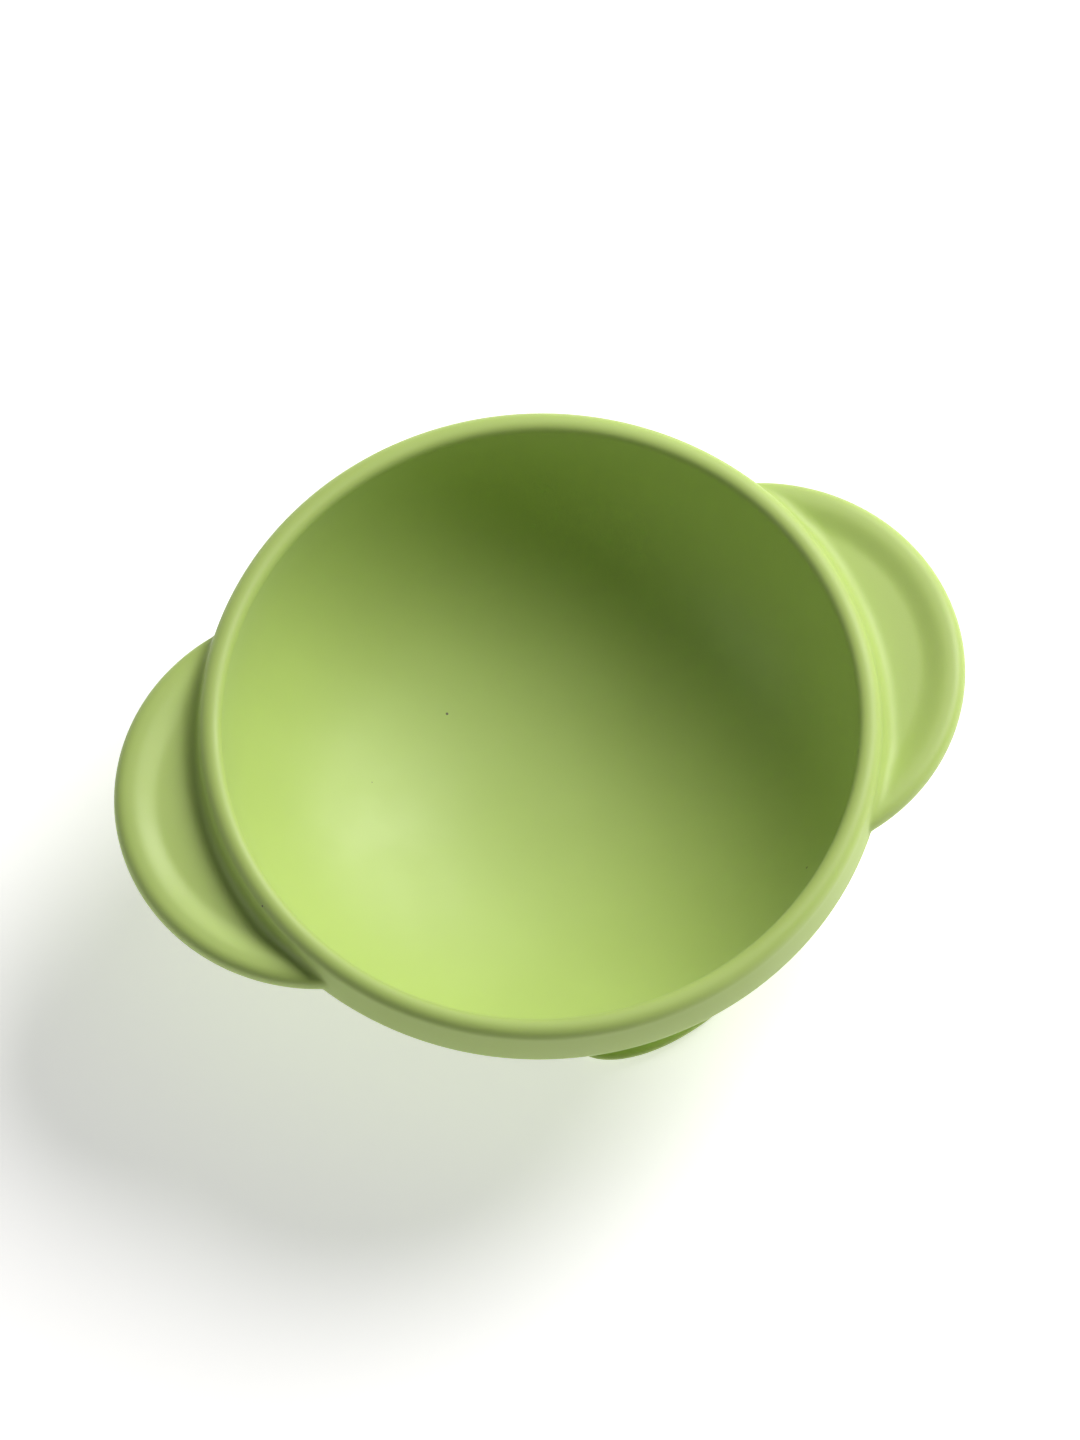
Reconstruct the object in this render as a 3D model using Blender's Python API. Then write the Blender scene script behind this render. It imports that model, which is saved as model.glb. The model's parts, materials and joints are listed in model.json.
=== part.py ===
"""Suction bowl for a small child: a soft bowl with two ear tabs on a plug-in suction foot.

Metres, +Z up.  The origin is on the table under the bowl's middle, +X runs through the ears,
and the release tab points to -Y, turned a little towards +X.
"""
import math

import bmesh
import bpy

# ---- driving dimensions, in metres -------------------------------------------------------
SEGMENTS = 64               # facets around a turned piece
GAP = 0.0003                # clearance between neighbouring pieces
WELD = 0.000001             # distance under which turned points are one point

RIM_HEIGHT = 0.0540         # top of the rim above the table
BEAD_RADIUS = 0.0021        # half the thickness of the rolled rim
BEAD_CENTRE = 0.0607        # radius of the circle that the rim's crest follows
RIM_OUTER = 0.06295         # the rim's outermost line, a bead's radius below its top

INNER_RADIUS = BEAD_CENTRE - BEAD_RADIUS
INNER_DEPTH = 0.0420        # from the rim down to the inside floor
INNER_POWER = 2.45          # superellipse power of the inside: over 2 is boxier than an ellipse

OUTER_RADIUS = 0.0622
OUTER_DEPTH = 0.0460        # from the rim down to where the outside would close
OUTER_POWER = 2.30
COLLAR_SWELL = 0.00223      # how far the collar stands out of the wall
COLLAR_DEPTH = 0.0085       # from the rim down to the collar's widest line
COLLAR_HALF_HEIGHT = 0.0055

RING_OUTER = 0.0300         # foot ring under the bowl
RING_INNER = 0.0252
RING_BOTTOM = 0.0053
RING_ROUND = 0.0008
RECESS_CEILING = 0.0090     # top of the recess that takes the suction foot's plug
RING_BLEND = 0.0015         # how far the ring flares out where it meets the wall

EAR_CENTRE = 0.0425         # from the bowl's axis to the middle of an ear's circle
EAR_RADIUS = 0.03795
EAR_TOP = 0.0497
EAR_THICKNESS = 0.0044
EAR_BORDER = 0.0037         # width of the raised border
EAR_RECESS = 0.0010         # how far the middle lies below the border
EAR_EDGE_ROUND = 0.0018

PLUG_RADIUS = RING_INNER - GAP
PLUG_TOP = RECESS_CEILING - GAP
PLUG_CHAMFER = 0.0008
SHOULDER_RADIUS = 0.0280    # disc that the bowl's foot ring stands on
SHOULDER_TOP = RING_BOTTOM - GAP
SHOULDER_BOTTOM = 0.0029
SHOULDER_ROUND = 0.0004
CHAMBER_CEILING = 0.0062    # roof of the hollow under the foot
CHAMBER_FLAT = 0.0170
CHAMBER_EDGE = 0.0265

CONE_INNER = SHOULDER_RADIUS + GAP
CONE_OUTER = 0.0347
CONE_INNER_TOP = 0.0049
CONE_INNER_BOTTOM = 0.0031
CONE_OUTER_TOP = 0.0022
CONE_OUTER_BOTTOM = 0.0009

LIP_INNER = CONE_OUTER + GAP
LIP_FLAT_START = 0.0365     # the lip is flat on the table from here out
LIP_OUTER = 0.0410
LIP_EDGE_HEIGHT = 0.0009
LIP_EDGE_ROUND = 0.0003

TAB_TURN = 16               # degrees: the tab's direction, from -Y towards +X
TAB_HINGE_RADIUS = 0.0376   # from the bowl's axis to the line that the tab peels about
TAB_HINGE_Z = 0.00095
TAB_THICKNESS = 0.0016
TAB_REACH = 0.0497          # how far the tab's tip is from the bowl's axis
TAB_HALF_ANGLE = 25.4       # degrees either side of the tab's middle
TAB_CORNER = 2.8            # superellipse power of the tab's rounded end
TAB_TILT = 8                # degrees: the tab rises towards its tip
TAB_COLUMNS = 22


# ---- small tools -------------------------------------------------------------------------
def clear_scene():
    for item in list(bpy.data.objects):
        bpy.data.objects.remove(item, do_unlink=True)


def silicone(name, colour, roughness):
    """Matt dyed silicone."""
    material = bpy.data.materials.new(name)
    material.use_nodes = True
    shader = material.node_tree.nodes["Principled BSDF"]
    shader.inputs["Base Color"].default_value = (*colour, 1.0)
    shader.inputs["Roughness"].default_value = roughness
    shader.inputs["Metallic"].default_value = 0.0
    material.diffuse_color = (*colour, 1.0)
    return material


def arc(centre, radius, start, end, steps):
    """Points on a circle in the section plane, by angles in degrees, both ends included."""
    points = []
    for step in range(steps + 1):
        angle = math.radians(start + (end - start) * step / steps)
        points.append((centre[0] + radius * math.cos(angle), centre[1] + radius * math.sin(angle)))
    return points


def add_object(name, mesh, material, parent):
    mesh.materials.append(material)
    mesh.shade_smooth()
    mesh.set_sharp_from_angle(angle=math.radians(35))
    item = bpy.data.objects.new(name, mesh)
    item.parent = parent
    bpy.context.scene.collection.objects.link(item)
    return item


def turned_mesh(name, section, is_ring):
    """Spin a section, given as (radius, height), once about the vertical axis.

    A ring's section is a loop. Any other section starts and ends on the axis.
    """
    bm = bmesh.new()
    verts = [bm.verts.new((radius, 0.0, height)) for radius, height in section]
    edges = [bm.edges.new(pair) for pair in zip(verts, verts[1:])]
    if is_ring:
        edges.append(bm.edges.new((verts[-1], verts[0])))
    bmesh.ops.spin(bm, geom=verts + edges, cent=(0, 0, 0), axis=(0, 0, 1), angle=math.tau,
                   steps=SEGMENTS, use_merge=True)
    bmesh.ops.remove_doubles(bm, verts=bm.verts, dist=WELD)
    bmesh.ops.recalc_face_normals(bm, faces=bm.faces)
    mesh = bpy.data.meshes.new(name)
    bm.to_mesh(mesh)
    bm.free()
    return mesh


def joint_empty(name, location):
    """An empty on a joint's axis, which carries the pieces that move with the joint."""
    empty = bpy.data.objects.new(name, None)
    empty.location = location
    empty.empty_display_size = 0.01
    bpy.context.scene.collection.objects.link(empty)
    return empty


# ---- the bowl ----------------------------------------------------------------------------
def outer_radius(depth):
    """Radius of the outside wall at a depth below the rim.

    From the rim's outermost line it widens evenly to the collar, then draws in to the wall.
    """
    body = OUTER_RADIUS * (1 - (depth / OUTER_DEPTH) ** OUTER_POWER) ** (1 / OUTER_POWER)
    down = min((depth - BEAD_RADIUS) / (COLLAR_DEPTH - BEAD_RADIUS), 1)
    past = min(max((depth - COLLAR_DEPTH) / COLLAR_HALF_HEIGHT, 0), 1)
    swell = (RIM_OUTER - OUTER_RADIUS) * (1 - down) + COLLAR_SWELL * down
    return body + swell * (0.5 + 0.5 * math.cos(math.pi * past))


def inside_section(steps):
    """The inside from the middle of the floor up to the rim."""
    points = []
    for step in range(steps + 1):
        turn = math.pi / 2 * step / steps
        radius = INNER_RADIUS * math.sin(turn) ** (2 / INNER_POWER)
        depth = INNER_DEPTH * math.cos(turn) ** (2 / INNER_POWER)
        if depth > BEAD_RADIUS:
            points.append((radius, RIM_HEIGHT - depth))
    return points


def rim_section():
    """The rim's top: a round inner half, and an outer half that is a little wider."""
    height = RIM_HEIGHT - BEAD_RADIUS
    points = arc((BEAD_CENTRE, height), BEAD_RADIUS, 180, 90, 4)
    for step in range(1, 5):
        turn = math.pi / 2 * step / 4
        points.append((BEAD_CENTRE + (RIM_OUTER - BEAD_CENTRE) * math.sin(turn),
                       height + BEAD_RADIUS * math.cos(turn)))
    return points


def outside_section():
    """The wall from under the rim's outermost line down to the foot ring."""
    ring_depth = OUTER_DEPTH * (1 - (RING_OUTER / OUTER_RADIUS) ** OUTER_POWER) ** (1 / OUTER_POWER)
    collar_end = COLLAR_DEPTH + COLLAR_HALF_HEIGHT
    depths = [BEAD_RADIUS + (COLLAR_DEPTH - BEAD_RADIUS) * step / 4 for step in range(1, 5)]
    depths += [COLLAR_DEPTH + COLLAR_HALF_HEIGHT * step / 4 for step in range(1, 5)]
    depths += [collar_end + (ring_depth - RING_BLEND - collar_end) * step / 8 for step in range(1, 9)]
    points = [(outer_radius(depth), RIM_HEIGHT - depth) for depth in depths]
    points.append((RING_OUTER, RIM_HEIGHT - ring_depth - RING_BLEND))
    return points


def foot_ring_section():
    """The foot ring, then its recess, in to the axis."""
    height = RING_BOTTOM + RING_ROUND
    outer = arc((RING_OUTER - RING_ROUND, height), RING_ROUND, 0, -90, 3)
    inner = arc((RING_INNER + RING_ROUND, height), RING_ROUND, -90, -180, 3)
    return outer + inner + [(RING_INNER, RECESS_CEILING), (0.0, RECESS_CEILING)]


def make_bowl_shell(material, parent):
    section = inside_section(14) + rim_section() + outside_section() + foot_ring_section()
    return add_object("bowl_shell", turned_mesh("bowl_shell", section, False), material, parent)


# ---- the ears ----------------------------------------------------------------------------
def ear_section():
    """A round dished disc: the recessed middle, the raised border, the rolled edge, the underside."""
    edge_middle = EAR_RADIUS - EAR_EDGE_ROUND
    border_start = EAR_RADIUS - EAR_BORDER
    points = [(0.0, -EAR_RECESS), (border_start - EAR_RECESS, -EAR_RECESS), (border_start, 0.0)]
    points += arc((edge_middle, -EAR_EDGE_ROUND), EAR_EDGE_ROUND, 90, 0, 3)
    points += arc((edge_middle, EAR_EDGE_ROUND - EAR_THICKNESS), EAR_EDGE_ROUND, 0, -90, 3)
    points.append((0.0, -EAR_THICKNESS))
    return points


def wall_cutter():
    """The space that the bowl's wall takes out of an ear, with the clearance round it."""
    top = RIM_HEIGHT - BEAD_RADIUS
    bottom = EAR_TOP - 2 * EAR_THICKNESS
    steps = 8
    section = [(0.0, RIM_HEIGHT), (RIM_OUTER + GAP, RIM_HEIGHT)]
    for step in range(steps + 1):
        height = top + (bottom - top) * step / steps
        section.append((outer_radius(RIM_HEIGHT - height) + GAP, height))
    section.append((0.0, bottom))
    mesh = turned_mesh("ear_root_cutter", section, False)
    cutter = bpy.data.objects.new("ear_root_cutter", mesh)
    cutter.hide_render = True
    cutter.display_type = "WIRE"
    bpy.context.scene.collection.objects.link(cutter)
    return cutter


def make_ears(material, parent):
    cutter = wall_cutter()
    for name, side in (("ear_left", -1), ("ear_right", 1)):
        ear = add_object(name, turned_mesh(name, ear_section(), False), material, parent)
        ear.location = (side * EAR_CENTRE, 0, EAR_TOP)
        cut = ear.modifiers.new("wall_clearance", "BOOLEAN")
        cut.operation = "DIFFERENCE"
        cut.object = cutter


# ---- the suction foot --------------------------------------------------------------------
def make_foot_plug(material, parent):
    """The plug in the bowl's recess, the shoulder under its ring and the chamber's roof."""
    round_top = arc((SHOULDER_RADIUS - SHOULDER_ROUND, SHOULDER_TOP - SHOULDER_ROUND),
                    SHOULDER_ROUND, 90, 0, 2)
    section = [(0.0, PLUG_TOP), (PLUG_RADIUS - PLUG_CHAMFER, PLUG_TOP),
               (PLUG_RADIUS, PLUG_TOP - PLUG_CHAMFER), (PLUG_RADIUS, SHOULDER_TOP)]
    section += round_top
    section += [(SHOULDER_RADIUS, SHOULDER_BOTTOM), (CHAMBER_EDGE, SHOULDER_BOTTOM),
                (CHAMBER_FLAT, CHAMBER_CEILING), (0.0, CHAMBER_CEILING)]
    return add_object("foot_plug", turned_mesh("foot_plug", section, False), material, parent)


def make_suction_cone(material, parent):
    """The thin cone that flexes when the bowl is pressed down."""
    section = [(CONE_INNER, CONE_INNER_TOP), (CONE_OUTER, CONE_OUTER_TOP),
               (CONE_OUTER, CONE_OUTER_BOTTOM), (CONE_INNER, CONE_INNER_BOTTOM)]
    return add_object("suction_cone", turned_mesh("suction_cone", section, True), material, parent)


def make_sealing_lip(material):
    """The flat ring that seals on the table, thinning to a rounded edge."""
    section = [(LIP_INNER, CONE_OUTER_BOTTOM), (LIP_INNER, CONE_OUTER_TOP),
               (LIP_OUTER - LIP_EDGE_ROUND, LIP_EDGE_HEIGHT),
               (LIP_OUTER, LIP_EDGE_HEIGHT - LIP_EDGE_ROUND), (LIP_OUTER, LIP_EDGE_ROUND),
               (LIP_OUTER - LIP_EDGE_ROUND, 0.0), (LIP_FLAT_START, 0.0)]
    return add_object("sealing_lip", turned_mesh("sealing_lip", section, True), material, None)


def tab_outline():
    """The tab's plan, pointing to -Y: an arc just clear of the lip, and a rounded end outside it."""
    root = LIP_OUTER + GAP
    reach = TAB_REACH - root
    inner, outer = [], []
    for column in range(TAB_COLUMNS + 1):
        share = 2 * column / TAB_COLUMNS - 1
        angle = math.radians(TAB_HALF_ANGLE * share)
        inner.append((root * math.sin(angle), -root * math.cos(angle)))
        if abs(share) < 1:
            length = root + reach * (1 - abs(share) ** TAB_CORNER) ** (1 / TAB_CORNER)
            outer.append((length * math.sin(angle), -length * math.cos(angle)))
    return inner + outer[::-1]


def make_release_tab(material, parent):
    """A flat plate drawn about its hinge line, then tilted up about it."""
    bm = bmesh.new()
    verts = [bm.verts.new((x, y + TAB_HINGE_RADIUS, -TAB_THICKNESS / 2)) for x, y in tab_outline()]
    plate = bm.faces.new(verts)
    grown = bmesh.ops.extrude_face_region(bm, geom=[plate])
    lifted = [item for item in grown["geom"] if isinstance(item, bmesh.types.BMVert)]
    bmesh.ops.translate(bm, verts=lifted, vec=(0, 0, TAB_THICKNESS))
    bmesh.ops.recalc_face_normals(bm, faces=bm.faces)
    mesh = bpy.data.meshes.new("release_tab")
    bm.to_mesh(mesh)
    bm.free()
    tab = add_object("release_tab", mesh, material, parent)
    tab.rotation_euler.x = -math.radians(TAB_TILT)
    return tab


# ---- assembly ----------------------------------------------------------------------------
def build():
    clear_scene()
    green = silicone("pistachio_silicone", (0.47, 0.66, 0.20), 0.55)
    foot_green = silicone("foot_silicone", (0.45, 0.64, 0.19), 0.50)

    bowl_axis = joint_empty("bowl_lift_axis", (0, 0, 0))
    make_bowl_shell(green, bowl_axis)
    make_ears(green, bowl_axis)

    foot_axis = joint_empty("foot_press_axis", (0, 0, 0))
    make_foot_plug(foot_green, foot_axis)
    make_suction_cone(foot_green, foot_axis)
    make_sealing_lip(foot_green)

    turn = math.radians(TAB_TURN)
    tab_axis = joint_empty("tab_hinge_axis", (TAB_HINGE_RADIUS * math.sin(turn),
                                              -TAB_HINGE_RADIUS * math.cos(turn), TAB_HINGE_Z))
    tab_axis.rotation_euler.z = turn
    make_release_tab(foot_green, tab_axis)


build()
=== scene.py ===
"""Looks for the suction bowl: matt pistachio silicone on a plain pale floor.

The bowl with its ears is one moulding, so one mesh stands for the shell and both ear nodes. The
suction foot is a plug, a skirt that bends between the foot and the lip, and a tab that peels.
"""
import json
import math

import bpy
import numpy as np
from mathutils import Matrix, Vector


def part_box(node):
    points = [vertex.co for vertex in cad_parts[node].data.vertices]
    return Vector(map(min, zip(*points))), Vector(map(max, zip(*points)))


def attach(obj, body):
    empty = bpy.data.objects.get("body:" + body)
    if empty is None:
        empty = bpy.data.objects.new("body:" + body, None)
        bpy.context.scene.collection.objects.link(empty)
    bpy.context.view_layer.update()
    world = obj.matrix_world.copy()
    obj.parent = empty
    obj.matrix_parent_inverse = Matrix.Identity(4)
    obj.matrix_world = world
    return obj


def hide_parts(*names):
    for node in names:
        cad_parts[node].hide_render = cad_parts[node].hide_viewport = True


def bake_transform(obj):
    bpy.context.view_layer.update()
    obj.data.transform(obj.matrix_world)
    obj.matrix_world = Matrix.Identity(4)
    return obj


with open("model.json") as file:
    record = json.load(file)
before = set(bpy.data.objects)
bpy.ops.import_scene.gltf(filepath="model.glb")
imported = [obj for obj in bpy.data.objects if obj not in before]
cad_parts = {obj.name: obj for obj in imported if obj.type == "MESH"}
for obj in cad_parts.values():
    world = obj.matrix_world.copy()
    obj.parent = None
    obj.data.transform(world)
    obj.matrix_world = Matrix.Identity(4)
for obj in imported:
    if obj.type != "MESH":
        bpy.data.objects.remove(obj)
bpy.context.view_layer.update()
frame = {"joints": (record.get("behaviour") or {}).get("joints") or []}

MM = 0.001

# ---- places and sizes, from the frame ----------------------------------------------------
shell_low, shell_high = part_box("bowl_shell")
ear_low, ear_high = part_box("ear_right")
plug_low, plug_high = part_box("foot_plug")
cone_low, cone_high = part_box("suction_cone")
lip_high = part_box("sealing_lip")[1]

RIM_Z = shell_high.z
RING_Z = shell_low.z
COLLAR_R = shell_high.x
EAR_TIP = ear_high.x
EAR_Z = (ear_low.z + ear_high.z) / 2
EAR_HALF = (ear_high.z - ear_low.z) / 2
PLUG_TOP = plug_high.z
PLUG_R = plug_high.x                    # the widest part of the plug is its shoulder
SHOULDER_LOW = plug_low.z
CONE_R = cone_high.x
CONE_TOP = cone_high.z
CONE_FOOT = cone_low.z
LIP_R = lip_high.x
LIP_TOP = lip_high.z
tab_joint = next(j for j in frame["joints"] if j["name"] == "tab_lift")
HINGE_X, HINGE_Y, HINGE_Z = tab_joint["pos_m"]
HINGE_R = math.hypot(HINGE_X, HINGE_Y)
TAB_TURN = math.atan2(HINGE_X, -HINGE_Y)    # the tab's direction, from -Y towards +X

# ---- driving dimensions of the moulding ----------------------------------------------------
BEAD = 2.1 * MM                         # half the rolled rim's thickness
BEAD_R = COLLAR_R - 3.17 * MM           # radius of the circle that the rim's crest follows
INNER_R = BEAD_R - BEAD
RIM_R = BEAD_R + 2.25 * MM              # the rim's outermost line, BEAD below the top
RIM_INNER_POWER = 2.4                   # the rim turns tightly into the bowl
RIM_OUTER_POWER = 2.0                   # and rolls evenly to the outside
INNER_DEPTH = 42.0 * MM
INNER_POWER = 2.45
WALL_R = COLLAR_R - 1.67 * MM
WALL_DEPTH = 46.0 * MM
WALL_POWER = 2.30
COLLAR_SWELL = 2.15 * MM                # how far the collar stands out of the wall
COLLAR_DEPTH = 8.5 * MM
COLLAR_HALF = 5.5 * MM
BAND_END = COLLAR_DEPTH + COLLAR_HALF   # below it the section is the same all the way round

RING_OUTER = 30.0 * MM
RING_INNER = 25.2 * MM
RECESS_Z = 9.0 * MM                     # top of the recess that the plug pushes into
RING_BLEND = 1.5 * MM                   # room for the crease where the wall meets the ring
RING_EDGE = 0.8 * MM                    # radius of the ring's rounded edges

EAR_RHO = 37.95 * MM                    # radius of an ear's own circle
EAR_C = EAR_TIP - EAR_RHO               # from the bowl's axis to that circle's middle
EAR_EDGE = 2.5 * MM                     # how far in from its edge an ear is rounded
EAR_EDGE_POWER = 2.3
DISH_START = 3.2 * MM                   # the raised border ends here
DISH_END = 8.4 * MM                     # and the dished middle starts here
DISH_DEPTH = 1.15 * MM
UNDER_DISH = 0.45 * MM
EAR_FILLET = 2.9 * MM                   # how far the hollow between wall and ear reaches, on top
UNDER_FILLET = 1.2 * MM                 # and underneath
FILLET_SHARE = 0.45                     # of an ear's width, the most that a hollow may take
RIM_CLEAR = 0.2 * MM                    # an ear's hollow stays this far below the rim's side

GRIP_R = PLUG_R - 3.1 * MM              # the part of the plug that the recess grips
GRIP_EDGE = 0.8 * MM
SHOULDER_TOP = RING_Z - 0.3 * MM        # the bowl's foot ring stands just above it
SHOULDER_EDGE = 0.3 * MM
CHAMBER_R = 26.5 * MM                   # the suction chamber, open to the table
CHAMBER_TOP = 6.2 * MM
CHAMBER_FLAT_R = 17.0 * MM              # its roof slopes outside this radius
RIPPLE_R = 26.0 * MM                    # and is rippled from here in to the flat part
RIPPLE_HEIGHT = 0.18 * MM
RIPPLE_PITCH = 1.5 * MM
ROOF_RING_RADII = (12.4 * MM, 12.0 * MM, 11.0 * MM, 10.6 * MM)
ROOF_RING_DROP = 0.35 * MM              # a low ring hangs from the flat part by this much

SKIRT_R = PLUG_R - 0.4 * MM             # the skirt starts just inside the shoulder's side
LIP_EDGE = 0.45 * MM                    # radius of the lip's rounded edge
# (radius, height) outwards along the skirt's upper side, and back along its underside
SKIRT_UPPER = [(SKIRT_R, CONE_TOP), (31.0 * MM, CONE_TOP - 1.25 * MM), (CONE_R, LIP_TOP),
               (LIP_R - 2.5 * MM, 1.3 * MM), (LIP_R - 0.5 * MM, 0.9 * MM)]
SKIRT_UNDER = [(36.6 * MM, 0.0), (36.0 * MM, 0.15 * MM), (CONE_R, CONE_FOOT),
               (31.5 * MM, CONE_FOOT + 1.0 * MM), (SKIRT_R, CONE_TOP - 1.8 * MM)]

TAB_ROOT = LIP_R - 2.6 * MM             # where the tab comes out of the lip
TAB_EDGE = LIP_R + 0.3 * MM             # where it is clear of the lip
TAB_REACH = 49.65 * MM                  # how far the tab's tip is from the bowl's axis
TAB_HALF_ANGLE = math.radians(25.4)
TAB_POWER = 2.8                         # superellipse power of the tab's rounded end
TAB_TILT = math.radians(8)              # the tab rises outwards
TAB_HALF = 0.8 * MM                     # half the tab's full thickness
TAB_ROUND = 0.8 * MM                    # how far in from its edge the tab is rounded
TAB_THIN = 0.42                         # the root's share of the full thickness
TAB_THICKEN = 3 * MM                    # full thickness is reached this far from the root
TAB_SIDES = 0.995                       # the last column's share of the half angle
TAB_LEAST = 0.02 * MM                   # smallest edge distance, and gap to the table
TAB_EDGE_SQUARE = 0.0004                # keeps a sliver of thickness at the very edge
RIBS = [TAB_EDGE + (2.2 + 1.5 * k) * MM for k in range(3)]
RIB_HEIGHT = 0.28 * MM
RIB_HALF_WIDTH = 0.33 * MM
RIB_END, RIB_FADE = 0.45, 0.2           # shares of the half angle: where ribs fade, how long

CREASE = 0.34 * MM                      # how softly the bowl's creases are filled
FOOT_CREASE = 0.16 * MM
SKIRT_CREASE = 0.14 * MM
STEP = 0.08 * MM                        # spacing of a section's fine points

# ---- how finely the meshes are divided -----------------------------------------------------
RIM_POINTS, INSIDE_POINTS, BAND_POINTS, EAR_POINTS, FILLET_POINTS = 120, 700, 900, 240, 60
RING_STEPS, LIP_STEPS, RIPPLE_POINTS = 12, 8, 40
COLUMN_RUNS = [(0, 30, 1.0), (30, 39.9, 0.4), (40, 90.1, 1.25)]     # degrees: from, up to, step
INSIDE_ROWS, INSIDE_PULL = 40, 2 * MM   # a pull is a length: how much a bend counts
RIM_ROWS, RIM_PULL = 26, 1 * MM
BAND_ROWS, BAND_PULL = 112, 1.3 * MM
BASE_ROWS, BASE_PULL = 62, 1.5 * MM
FOOT_COLUMNS, FOOT_ROWS, FOOT_PULL = 144, 150, 1.5 * MM
SKIRT_COLUMNS, SKIRT_ROWS, SKIRT_PULL = 192, 90, 0.8 * MM
TAB_COLUMNS, TAB_ROWS = 72, 44
BOWL_END, FOOT_END = 3, 2               # fine points left off where a section meets the axis

# ---- colours and surface -------------------------------------------------------------------
PISTACHIO = (0.49, 0.64, 0.182)
BOWL_ROUGHNESS, BOWL_GRAIN = 0.50, 0.35
FOOT_PISTACHIO = (0.475, 0.62, 0.172)
FOOT_ROUGHNESS, FOOT_GRAIN = 0.42, 0.2
NOISE_LOW, NOISE_HIGH = 0.3, 0.7        # where a noise's useful range starts and ends
CLOUD_SCALE, CLOUD_DETAIL = 26, 3
CLOUD_DARK, CLOUD_LIGHT = 0.965, 1.02   # the faint clouding's range, times the colour
PATCH_SCALE, PATCH_DETAIL = 60, 4
ROUGHER, SMOOTHER = 0.06, 0.05          # how far the roughness strays
DUST_SCALE = 170
DUST_COLOUR = (0.16, 0.17, 0.09, 1)
DUST_RADIUS, DUST_CUT = 0.045, 0.93     # a speck's size in its cell, share of cells left bare
WAVE_SCALE, WAVE_DETAIL = 70, 1
WAVE_DEPTH, WAVE_STRENGTH = 0.12 * MM, 0.25
GRAIN_SCALE, GRAIN_DETAIL = 2600, 2
GRAIN_DEPTH = 0.02 * MM
SCATTER_DEPTH = 1.6 * MM                # how deep light goes under the skin

# ---- studio --------------------------------------------------------------------------------
FLOOR_HALF = 6.0
FLOOR_Z = -0.02 * MM                    # a hair below the lip, which rests on it
FLOOR_COLOUR, FLOOR_ROUGHNESS = (0.86, 0.86, 0.87), 0.7
FLOOR_GLOW_COLOUR, FLOOR_GLOW = (1.0, 0.99, 1.0, 1), 0.5
LIGHTS = [      # name, azimuth and elevation in degrees, diameter in metres, watts, colour
    ("key", 27, 44, 1.05, 30, (1.0, 0.985, 0.95)),
    ("front", -45, 5, 0.8, 3, (1.0, 1.0, 0.98)),
    ("side", 178, 20, 0.8, 3, (0.97, 1.0, 0.95)),
]
LIGHT_DISTANCE = 1.6
WORLD_COLOUR, WORLD_STRENGTH = (0.95, 0.96, 1.0, 1), 0.05
WALL_COLOUR = (0.80, 0.81, 0.82, 1)     # the pale studio wall behind, for the camera only

CAMERA_AZIMUTH = -15.3                  # degrees from -Y towards +X
CAMERA_ELEVATION = 66.7
CAMERA_ROLL = 1.9
CAMERA_LENS = 300.0
CAMERA_SENSOR = 36.0
CAMERA_CLIP = 20
VIEW_HEIGHT = 0.2650                    # metres that the picture's height covers at the rim


# ---- sections ------------------------------------------------------------------------------
def wall_radius(depth):
    """Radius of the outside wall at a depth below the rim.

    It widens evenly from the rim's outermost line to the collar, then draws in to the wall.
    """
    depth = np.asarray(depth, float)
    body = WALL_R * (1 - (depth / WALL_DEPTH) ** WALL_POWER) ** (1 / WALL_POWER)
    down = np.clip((depth - BEAD) / (COLLAR_DEPTH - BEAD), 0, 1)
    past = np.clip((depth - COLLAR_DEPTH) / COLLAR_HALF, 0, 1)
    above = (RIM_R - WALL_R) * (1 - down) + COLLAR_SWELL * down
    return body + above * (0.5 + 0.5 * np.cos(np.pi * past))


def rim_points():
    """The rim's top half, from its inner edge over the crest to its outermost line."""
    turn = np.linspace(0, math.pi / 2, RIM_POINTS)
    height = RIM_Z - BEAD
    inner, outer = 2 / RIM_INNER_POWER, 2 / RIM_OUTER_POWER
    inside = np.c_[BEAD_R - (BEAD_R - INNER_R) * np.cos(turn) ** inner,
                   height + BEAD * np.sin(turn) ** inner]
    outside = np.c_[BEAD_R + (RIM_R - BEAD_R) * np.sin(turn) ** outer,
                    height + BEAD * np.cos(turn) ** outer]
    return np.vstack([inside, outside[1:]])


def smooth(t):
    t = np.clip(t, 0, 1)
    return t * t * (3 - 2 * t)


def ear_inset(radius, angle):
    """How far a point is inside the ear's outline, seen from above."""
    along = radius * math.cos(angle) - EAR_C
    across = radius * math.sin(angle)
    return EAR_RHO - np.hypot(along, across)


def ear_half(inset):
    """Half the ear's thickness near its rounded edge."""
    share = np.clip(1 - inset / EAR_EDGE, 0, 1)
    return EAR_HALF * (1 - share ** EAR_EDGE_POWER) ** (1 / EAR_EDGE_POWER)


def ear_top(inset):
    dish = DISH_DEPTH * smooth((inset - DISH_START) / (DISH_END - DISH_START))
    return EAR_Z + ear_half(inset) - dish


def ear_under(inset):
    dish = UNDER_DISH * smooth((inset - DISH_START) / (DISH_END - DISH_START))
    return EAR_Z - ear_half(inset) + dish


def arc(centre, radius, start, end, steps):
    turn = np.radians(np.linspace(start, end, steps + 1))
    return np.c_[centre[0] + radius * np.cos(turn), centre[1] + radius * np.sin(turn)]


def wall_points(start, end):
    depth = np.linspace(start, end, max(2, int(abs(end - start) / STEP)))
    return np.c_[wall_radius(depth), RIM_Z - depth]


def fillet(start, corner, end):
    """A concave curve from one surface to the next, in place of the corner between them."""
    t = np.linspace(0, 1, FILLET_POINTS)[:, None]
    start, corner, end = np.array(start), np.array(corner), np.array(end)
    return (1 - t) ** 2 * start + 2 * t * (1 - t) * corner + t * t * end


def wall_point(depth):
    return (float(wall_radius(depth)), RIM_Z - depth)


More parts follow.
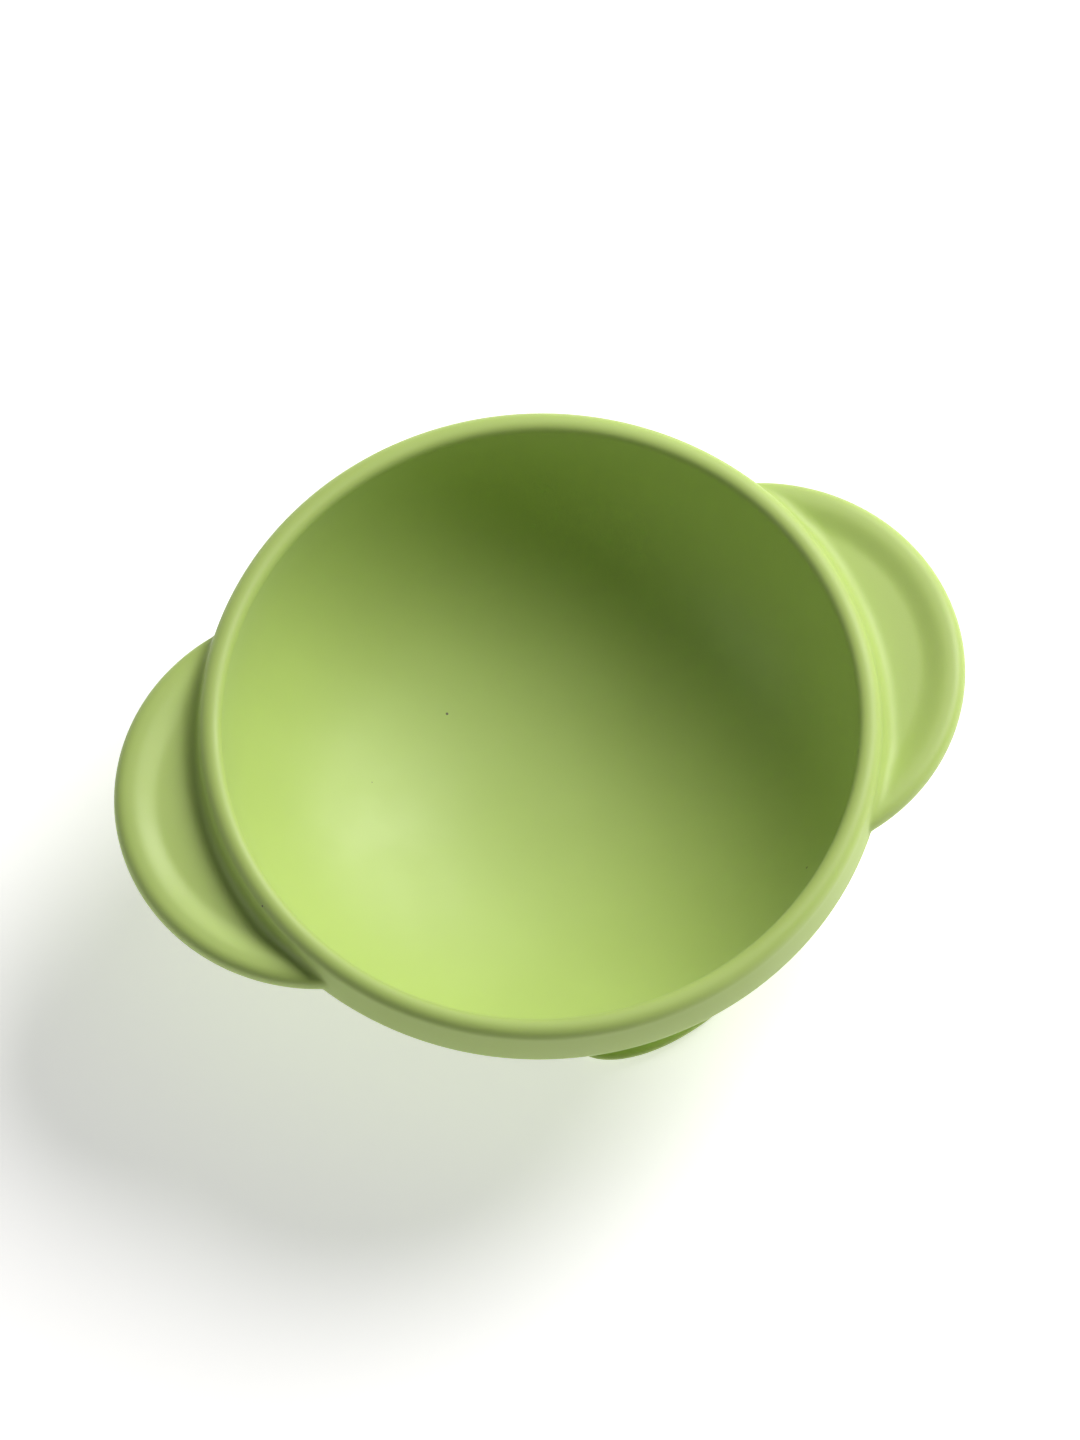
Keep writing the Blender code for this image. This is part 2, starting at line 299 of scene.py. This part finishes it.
def band(angle):
    """The section from the rim's outermost line, over the ear if there is one, to the wall."""
    depth = np.linspace(BEAD, BAND_END, BAND_POINTS)
    radius = wall_radius(depth)
    inset = ear_inset(radius, angle)
    height = RIM_Z - depth
    inside = (inset > 0) & (height < ear_top(inset)) & (height > ear_under(inset))
    if not inside.any():
        return wall_points(BEAD, BAND_END)
    first, last = np.flatnonzero(inside)[[0, -1]]
    tip = EAR_C * math.cos(angle) + math.sqrt(EAR_RHO ** 2 - (EAR_C * math.sin(angle)) ** 2)
    width = tip - max(radius[first], radius[last])
    above = min(EAR_FILLET, FILLET_SHARE * width)
    under = min(UNDER_FILLET, FILLET_SHARE * width)
    ease = np.sin(np.linspace(0, math.pi / 2, EAR_POINTS))
    out = radius[first] + above + (tip - radius[first] - above) * ease
    back = radius[last] + under + (tip - radius[last] - under) * ease[::-1]
    over = np.c_[out, ear_top(ear_inset(out, angle))]
    below = np.c_[back, ear_under(ear_inset(back, angle))]
    start = max(depth[first] - above, BEAD + RIM_CLEAR)
    end = depth[last] + under
    return np.vstack([
        wall_points(BEAD, start)[:-1],
        fillet(wall_point(start), wall_point(depth[first]), over[0])[:-1], over,
        below[1:-1], fillet(below[-1], wall_point(depth[last]), wall_point(end))[:-1],
        wall_points(end, BAND_END)])


def inside_points():
    turn = np.linspace(0, math.pi / 2, INSIDE_POINTS)
    radius = INNER_R * np.sin(turn) ** (2 / INNER_POWER)
    depth = INNER_DEPTH * np.cos(turn) ** (2 / INNER_POWER)
    keep = depth > BEAD
    return np.c_[radius[keep], RIM_Z - depth[keep]]


def below_band():
    """The wall under the collar, the foot ring and the recess, in to the axis."""
    ring_depth = WALL_DEPTH * (1 - (RING_OUTER / WALL_R) ** WALL_POWER) ** (1 / WALL_POWER)
    wall = wall_points(BAND_END, ring_depth - RING_BLEND)
    edge = RING_EDGE
    ring = np.vstack([
        [[RING_OUTER, RIM_Z - ring_depth - RING_BLEND]],
        arc((RING_OUTER - edge, RING_Z + edge), edge, 0, -90, RING_STEPS),
        arc((RING_INNER + edge, RING_Z + edge), edge, -90, -180, RING_STEPS),
        [[RING_INNER, RECESS_Z], [0, RECESS_Z]]])
    return wall, ring


def lengths(points):
    return np.r_[0, np.cumsum(np.hypot(*np.diff(points, axis=0).T))]


def resample(points, at):
    along = lengths(points)
    return np.c_[np.interp(at, along, points[:, 0]), np.interp(at, along, points[:, 1])]


def soften(points, width):
    """Fills creases: an even resampling, then a Gaussian average along the line."""
    total = lengths(points)[-1]
    even = resample(points, np.linspace(0, total, int(total / STEP)))
    reach = int(3 * width / STEP)
    kernel = np.exp(-0.5 * (np.arange(-reach, reach + 1) * STEP / width) ** 2)
    kernel /= kernel.sum()
    padded = np.vstack([2 * even[0] - even[reach:0:-1], even,
                        2 * even[-1] - even[-2:-reach - 2:-1]])
    return np.c_[np.convolve(padded[:, 0], kernel, "valid"),
                 np.convolve(padded[:, 1], kernel, "valid")]


def spread(points, rows, pull):
    """Rows along a line, closer together where it curves, and more so for a longer pull."""
    along = lengths(points)
    step = np.gradient(points, axis=0)
    heading = np.unwrap(np.arctan2(step[:, 1], step[:, 0]))
    bend = np.abs(np.gradient(heading, along, edge_order=1))
    weight = 1 + pull * bend
    share = np.r_[0, np.cumsum((weight[1:] + weight[:-1]) / 2 * np.diff(along))]
    at = np.interp(np.linspace(0, share[-1], rows), share, along)
    return resample(points, at)


def nearest(points, target):
    return int(np.argmin(np.hypot(points[:, 0] - target[0], points[:, 1] - target[1])))


# ---- meshes --------------------------------------------------------------------------------
def new_object(name, verts, faces):
    mesh = bpy.data.meshes.new(name)
    mesh.from_pydata([tuple(v) for v in verts], [], faces)
    mesh.validate()
    mesh.shade_smooth()
    item = bpy.data.objects.new(name, mesh)
    bpy.context.scene.collection.objects.link(item)
    return item


def skin(name, columns, angles, closed_ends):
    """Joins one section for each angle into a closed surface.

    closed_ends: the sections start and end on the axis. Otherwise each section is a loop.
    """
    count = len(angles)
    rows = len(columns[0])
    turn = np.array(angles)
    table = np.array(columns)
    verts = np.stack([table[:, :, 0] * np.cos(turn)[:, None],
                      table[:, :, 0] * np.sin(turn)[:, None],
                      table[:, :, 1]], axis=2).reshape(-1, 3)
    faces = []
    for j in range(count):
        k = (j + 1) % count
        for i in range(rows - 1):
            faces.append((j * rows + i, k * rows + i, k * rows + i + 1, j * rows + i + 1))
        if not closed_ends:
            faces.append((j * rows + rows - 1, k * rows + rows - 1, k * rows, j * rows))
    verts = list(verts)
    if closed_ends:
        first, last = len(verts), len(verts) + 1
        verts.append((0.0, 0.0, float(table[:, 0, 1].mean())))
        verts.append((0.0, 0.0, float(table[:, -1, 1].mean())))
        for j in range(count):
            k = (j + 1) % count
            faces.append((first, k * rows, j * rows))
            faces.append((last, j * rows + rows - 1, k * rows + rows - 1))
    return new_object(name, verts, faces)


def quarter_angles():
    """Column angles from an ear's middle to square of it, closest where the ear ends."""
    return np.radians(np.concatenate([np.arange(*run) for run in COLUMN_RUNS]))


def make_bowl():
    """The bowl and both ears in one: a quarter's sections, mirrored and then turned round."""
    quarter = quarter_angles()
    inner = inside_points()
    rim = rim_points()
    wall, ring = below_band()
    sections = []
    for angle in quarter:
        line = soften(np.vstack([inner, rim, band(angle)[1:], wall[1:], ring]), CREASE)
        a = nearest(line, (INNER_R, RIM_Z - BEAD))
        b = nearest(line, (RIM_R, RIM_Z - BEAD))
        c = nearest(line[b:], (wall_radius(BAND_END), RIM_Z - BAND_END)) + b
        sections.append(np.vstack([
            spread(line[BOWL_END:a + 1], INSIDE_ROWS, INSIDE_PULL)[:-1],
            spread(line[a:b + 1], RIM_ROWS, RIM_PULL)[:-1],
            spread(line[b:c + 1], BAND_ROWS, BAND_PULL)[:-1],
            spread(line[c:-BOWL_END], BASE_ROWS, BASE_PULL)]))
    angles = list(quarter) + [math.pi - a for a in quarter[-2::-1]]
    columns = sections + sections[-2::-1]
    half = len(angles)
    angles += [a + math.pi for a in angles[1:half - 1]]
    columns += columns[1:half - 1]
    return skin("bowl_moulding", columns, angles, True)


def turned(name, section, count, closed_ends):
    """A turned piece: the same section at every angle."""
    angles = list(np.linspace(0, 2 * math.pi, count, endpoint=False))
    return skin(name, [section] * count, angles, closed_ends)


def make_foot():
    """The plug, the shoulder that the bowl stands on, and the chamber's rippled roof."""
    points = [(0, PLUG_TOP), (GRIP_R - GRIP_EDGE, PLUG_TOP), (GRIP_R, PLUG_TOP - GRIP_EDGE),
              (GRIP_R, SHOULDER_TOP), (PLUG_R - SHOULDER_EDGE, SHOULDER_TOP),
              (PLUG_R, SHOULDER_TOP - SHOULDER_EDGE), (PLUG_R, SHOULDER_LOW),
              (CHAMBER_R, SHOULDER_LOW)]
    slope = (CHAMBER_TOP - SHOULDER_LOW) / (CHAMBER_R - CHAMBER_FLAT_R)
    for radius in np.linspace(RIPPLE_R, CHAMBER_FLAT_R, RIPPLE_POINTS):
        phase = (radius - CHAMBER_FLAT_R) / RIPPLE_PITCH * math.pi
        ripple = RIPPLE_HEIGHT * math.sin(phase) ** 2
        points.append((radius, SHOULDER_LOW + (CHAMBER_R - radius) * slope + ripple))
    drops = (0, ROOF_RING_DROP, ROOF_RING_DROP, 0)
    points += [(radius, CHAMBER_TOP - drop) for radius, drop in zip(ROOF_RING_RADII, drops)]
    points.append((0, CHAMBER_TOP))
    line = soften(np.array(points, float), FOOT_CREASE)
    line = spread(line[FOOT_END:-FOOT_END], FOOT_ROWS, FOOT_PULL)
    return turned("foot_moulding", line, FOOT_COLUMNS, True)


def make_skirt():
    """The thin cone and the sealing lip in one, from the shoulder down to the flat ring."""
    edge = arc((LIP_R - LIP_EDGE, LIP_EDGE), LIP_EDGE, 90, -90, LIP_STEPS)
    line = soften(np.vstack([SKIRT_UPPER, edge, SKIRT_UNDER]), SKIRT_CREASE)
    line = spread(line, SKIRT_ROWS, SKIRT_PULL)
    return turned("suction_skirt", line, SKIRT_COLUMNS, False)


def tab_half(side, radius):
    """Half the tab's thickness: thin at the root, full outside the lip, rounded at its edge."""
    share = 1 - min(max(side / TAB_ROUND, 0), 1)
    edge = math.sqrt(max(1 - share * share, TAB_EDGE_SQUARE))
    full = smooth((radius - TAB_ROOT) / TAB_THICKEN)
    return TAB_HALF * edge * (TAB_THIN + (1 - TAB_THIN) * full)


def tab_rib(radius, share):
    """Height of the grip ribs, which cross the middle of the tab."""
    across = 1 - smooth((abs(share) - RIB_END) / RIB_FADE)
    rise = sum(math.exp(-((radius - rib) / RIB_HALF_WIDTH) ** 2) for rib in RIBS)
    return RIB_HEIGHT * across * rise


def make_tab():
    """The peel tab: a thin plate with a rounded end and raised grip ribs, rooted in the lip."""
    columns, rows = TAB_COLUMNS, TAB_ROWS
    tilt = math.tan(TAB_TILT)
    tops, unders = [], []
    for i in range(columns + 1):
        share = TAB_SIDES * (2 * i / columns - 1)
        angle = TAB_HALF_ANGLE * share
        rounding = (1 - abs(share) ** TAB_POWER) ** (1 / TAB_POWER)
        tip = TAB_EDGE + (TAB_REACH - TAB_EDGE) * rounding
        for j in range(rows + 1):
            radius = TAB_ROOT + (tip - TAB_ROOT) * math.sin(math.pi / 2 * j / rows)
            x, y = radius * math.sin(angle + TAB_TURN), -radius * math.cos(angle + TAB_TURN)
            middle = HINGE_Z + (radius * math.cos(angle) - HINGE_R) * tilt
            side = min(tip - radius, (1 - abs(share)) * TAB_HALF_ANGLE * radius + TAB_LEAST)
            half = tab_half(side, radius)
            rib = tab_rib(radius, share) * min(side / TAB_ROUND, 1)
            tops.append((x, y, max(middle + half + rib, TAB_LEAST)))
            unders.append((x, y, max(middle - half, TAB_LEAST)))
    width = rows + 1
    verts = tops + unders
    shift = len(tops)
    faces = []
    for i in range(columns):
        for j in range(rows):
            a, b = i * width + j, (i + 1) * width + j
            faces.append((a, a + 1, b + 1, b))
            faces.append((a + shift, b + shift, b + shift + 1, a + shift + 1))
        a, b = i * width, (i + 1) * width
        faces.append((a, b, b + shift, a + shift))
        a, b = a + rows, b + rows
        faces.append((b, a, a + shift, b + shift))
    for a in range(rows):
        b = columns * width + a
        faces.append((a + 1, a, a + shift, a + shift + 1))
        faces.append((b, b + 1, b + shift + 1, b + shift))
    return new_object("peel_tab", verts, faces)


# ---- materials -----------------------------------------------------------------------------
def node(tree, kind, place, sockets=None, **values):
    """A new node with its settings, and with the values of its own sockets."""
    made = tree.nodes.new(kind)
    made.location = place
    for name, value in values.items():
        setattr(made, name, value)
    for name, value in (sockets or {}).items():
        made.inputs[name].default_value = value
    return made


def noise(tree, coords, place, scale, detail):
    made = node(tree, "ShaderNodeTexNoise", place, {"Scale": scale, "Detail": detail})
    tree.links.new(coords.outputs["Object"], made.inputs["Vector"])
    return made


def silicone(name, colour, roughness, grain):
    """Dyed matt silicone: light under the skin, a fine grain, faint clouding and dust."""
    material = bpy.data.materials.new(name)
    material.use_nodes = True
    tree = material.node_tree
    tree.nodes.clear()
    out = node(tree, "ShaderNodeOutputMaterial", (900, 0))
    shader = node(tree, "ShaderNodeBsdfPrincipled", (600, 0), {
        "Metallic": 0.0, "IOR": 1.41, "Specular IOR Level": 0.65,
        "Subsurface Weight": 0.22, "Subsurface Radius": (1.0, 1.25, 0.4),
        "Subsurface Scale": SCATTER_DEPTH,
        "Sheen Weight": 0.14, "Sheen Roughness": 0.45, "Sheen Tint": (0.9, 1.0, 0.75, 1)})
    tree.links.new(shader.outputs[0], out.inputs[0])
    coords = node(tree, "ShaderNodeTexCoord", (-1300, 0))

    # faint clouding of the dye
    cloud = noise(tree, coords, (-1000, 300), CLOUD_SCALE, CLOUD_DETAIL)
    tint = node(tree, "ShaderNodeValToRGB", (-750, 300))
    dark, light = tint.color_ramp.elements
    dark.position, light.position = NOISE_LOW, NOISE_HIGH
    dark.color = (*[c * CLOUD_DARK for c in colour], 1)
    light.color = (*[min(c * CLOUD_LIGHT, 1) for c in colour], 1)
    tree.links.new(cloud.outputs["Fac"], tint.inputs["Fac"])

    # a few specks of dust, one in a cell and most cells bare
    specks = node(tree, "ShaderNodeTexVoronoi", (-1000, 0), {"Scale": DUST_SCALE}, feature="F1")
    tree.links.new(coords.outputs["Object"], specks.inputs["Vector"])
    near = node(tree, "ShaderNodeMath", (-750, 0), {1: DUST_RADIUS}, operation="LESS_THAN")
    tree.links.new(specks.outputs["Distance"], near.inputs[0])
    apart = node(tree, "ShaderNodeSeparateColor", (-750, -160))
    tree.links.new(specks.outputs["Color"], apart.inputs["Color"])
    few = node(tree, "ShaderNodeMath", (-550, -160), {1: DUST_CUT}, operation="GREATER_THAN")
    tree.links.new(apart.outputs[0], few.inputs[0])
    dust = node(tree, "ShaderNodeMath", (-350, -60), operation="MULTIPLY")
    tree.links.new(near.outputs[0], dust.inputs[0])
    tree.links.new(few.outputs[0], dust.inputs[1])
    mixed = node(tree, "ShaderNodeMix", (-100, 200), data_type="RGBA")
    mixed.inputs[7].default_value = DUST_COLOUR
    tree.links.new(dust.outputs[0], mixed.inputs[0])
    tree.links.new(tint.outputs["Color"], mixed.inputs[6])
    tree.links.new(mixed.outputs[2], shader.inputs["Base Color"])

    # patches a little smoother or rougher than the rest
    patch = noise(tree, coords, (-1000, -400), PATCH_SCALE, PATCH_DETAIL)
    rough = node(tree, "ShaderNodeMapRange", (-750, -400), {
        "From Min": NOISE_LOW, "From Max": NOISE_HIGH,
        "To Min": roughness - SMOOTHER, "To Max": roughness + ROUGHER})
    tree.links.new(patch.outputs["Fac"], rough.inputs["Value"])
    tree.links.new(rough.outputs[0], shader.inputs["Roughness"])

    # the mould's fine grain over a slow wave
    fine = noise(tree, coords, (-1000, -700), GRAIN_SCALE, GRAIN_DETAIL)
    wavy = noise(tree, coords, (-1000, -950), WAVE_SCALE, WAVE_DETAIL)
    soft = node(tree, "ShaderNodeBump", (-400, -850),
                {"Strength": WAVE_STRENGTH, "Distance": WAVE_DEPTH})
    tree.links.new(wavy.outputs["Fac"], soft.inputs["Height"])
    bump = node(tree, "ShaderNodeBump", (-100, -700), {"Strength": grain, "Distance": GRAIN_DEPTH})
    tree.links.new(fine.outputs["Fac"], bump.inputs["Height"])
    tree.links.new(soft.outputs["Normal"], bump.inputs["Normal"])
    tree.links.new(bump.outputs["Normal"], shader.inputs["Normal"])
    return material


# ---- stage ---------------------------------------------------------------------------------
def make_floor():
    size = FLOOR_HALF
    corners = [(-size, -size), (size, -size), (size, size), (-size, size)]
    floor = new_object("floor", [(x, y, FLOOR_Z) for x, y in corners], [(0, 1, 2, 3)])
    paper = bpy.data.materials.new("floor_paper")
    paper.use_nodes = True
    shader = paper.node_tree.nodes["Principled BSDF"]
    shader.inputs["Base Color"].default_value = (*FLOOR_COLOUR, 1)
    shader.inputs["Roughness"].default_value = FLOOR_ROUGHNESS
    shader.inputs["Emission Color"].default_value = FLOOR_GLOW_COLOUR
    shader.inputs["Emission Strength"].default_value = FLOOR_GLOW
    floor.data.materials.append(paper)


def add_area(name, azimuth, elevation, size, power, colour):
    """A soft light aimed at the bowl. Azimuth is measured from +X towards +Y."""
    turn, lift = math.radians(azimuth), math.radians(elevation)
    away = Vector((math.cos(turn) * math.cos(lift), math.sin(turn) * math.cos(lift),
                   math.sin(lift)))
    lamp = bpy.data.lights.new(name, "AREA")
    lamp.shape = "DISK"
    lamp.size = size
    lamp.energy = power
    lamp.color = colour
    item = bpy.data.objects.new(name, lamp)
    item.location = away * LIGHT_DISTANCE
    item.rotation_mode = "QUATERNION"
    item.rotation_quaternion = away.to_track_quat("Z", "Y")
    item.visible_camera = False
    bpy.context.scene.collection.objects.link(item)


def make_world():
    """A dim even light, and a pale wall that only the camera sees."""
    world = bpy.data.worlds.new("studio")
    world.use_nodes = True
    tree = world.node_tree
    light = tree.nodes["Background"]
    light.inputs["Color"].default_value = WORLD_COLOUR
    light.inputs["Strength"].default_value = WORLD_STRENGTH
    seen = node(tree, "ShaderNodeBackground", (0, -150), {"Color": WALL_COLOUR})
    path = node(tree, "ShaderNodeLightPath", (-200, 300))
    mixed = node(tree, "ShaderNodeMixShader", (200, 0))
    tree.links.new(path.outputs["Is Camera Ray"], mixed.inputs[0])
    tree.links.new(light.outputs[0], mixed.inputs[1])
    tree.links.new(seen.outputs[0], mixed.inputs[2])
    tree.links.new(mixed.outputs[0], tree.nodes["World Output"].inputs[0])
    bpy.context.scene.world = world


def make_camera():
    data = bpy.data.cameras.new("camera")
    data.lens = CAMERA_LENS
    data.sensor_width = CAMERA_SENSOR
    data.clip_end = CAMERA_CLIP
    turn, lift = math.radians(CAMERA_AZIMUTH), math.radians(CAMERA_ELEVATION)
    back = Vector((math.sin(turn) * math.cos(lift), -math.cos(turn) * math.cos(lift),
                   math.sin(lift)))
    camera = bpy.data.objects.new("camera", data)
    aim = Vector((0, 0, RIM_Z))
    camera.location = aim + back * (VIEW_HEIGHT * CAMERA_LENS / data.sensor_width)
    camera.rotation_mode = "QUATERNION"
    roll = Matrix.Rotation(math.radians(-CAMERA_ROLL), 4, "Z").to_quaternion()
    camera.rotation_quaternion = (-back).to_track_quat("-Z", "Y") @ roll
    bpy.context.scene.collection.objects.link(camera)
    bpy.context.scene.camera = camera


# ---- assembly ------------------------------------------------------------------------------
def dress(piece, material):
    piece.data.materials.append(material)


bowl_green = silicone("pistachio_silicone", PISTACHIO, BOWL_ROUGHNESS, BOWL_GRAIN)
foot_green = silicone("foot_silicone", FOOT_PISTACHIO, FOOT_ROUGHNESS, FOOT_GRAIN)

bowl = make_bowl()
dress(bowl, bowl_green)
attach(bowl, "bowl")
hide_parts("bowl_shell", "ear_left", "ear_right")

foot = make_foot()
dress(foot, foot_green)
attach(foot, "foot")
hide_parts("foot_plug")

skirt = make_skirt()
dress(skirt, foot_green)
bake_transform(skirt)
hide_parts("suction_cone", "sealing_lip")

tab = make_tab()
dress(tab, foot_green)
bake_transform(tab)
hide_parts("release_tab")

make_floor()
for light in LIGHTS:
    add_area(*light)
make_world()
make_camera()
bpy.context.scene.view_settings.view_transform = "Standard"
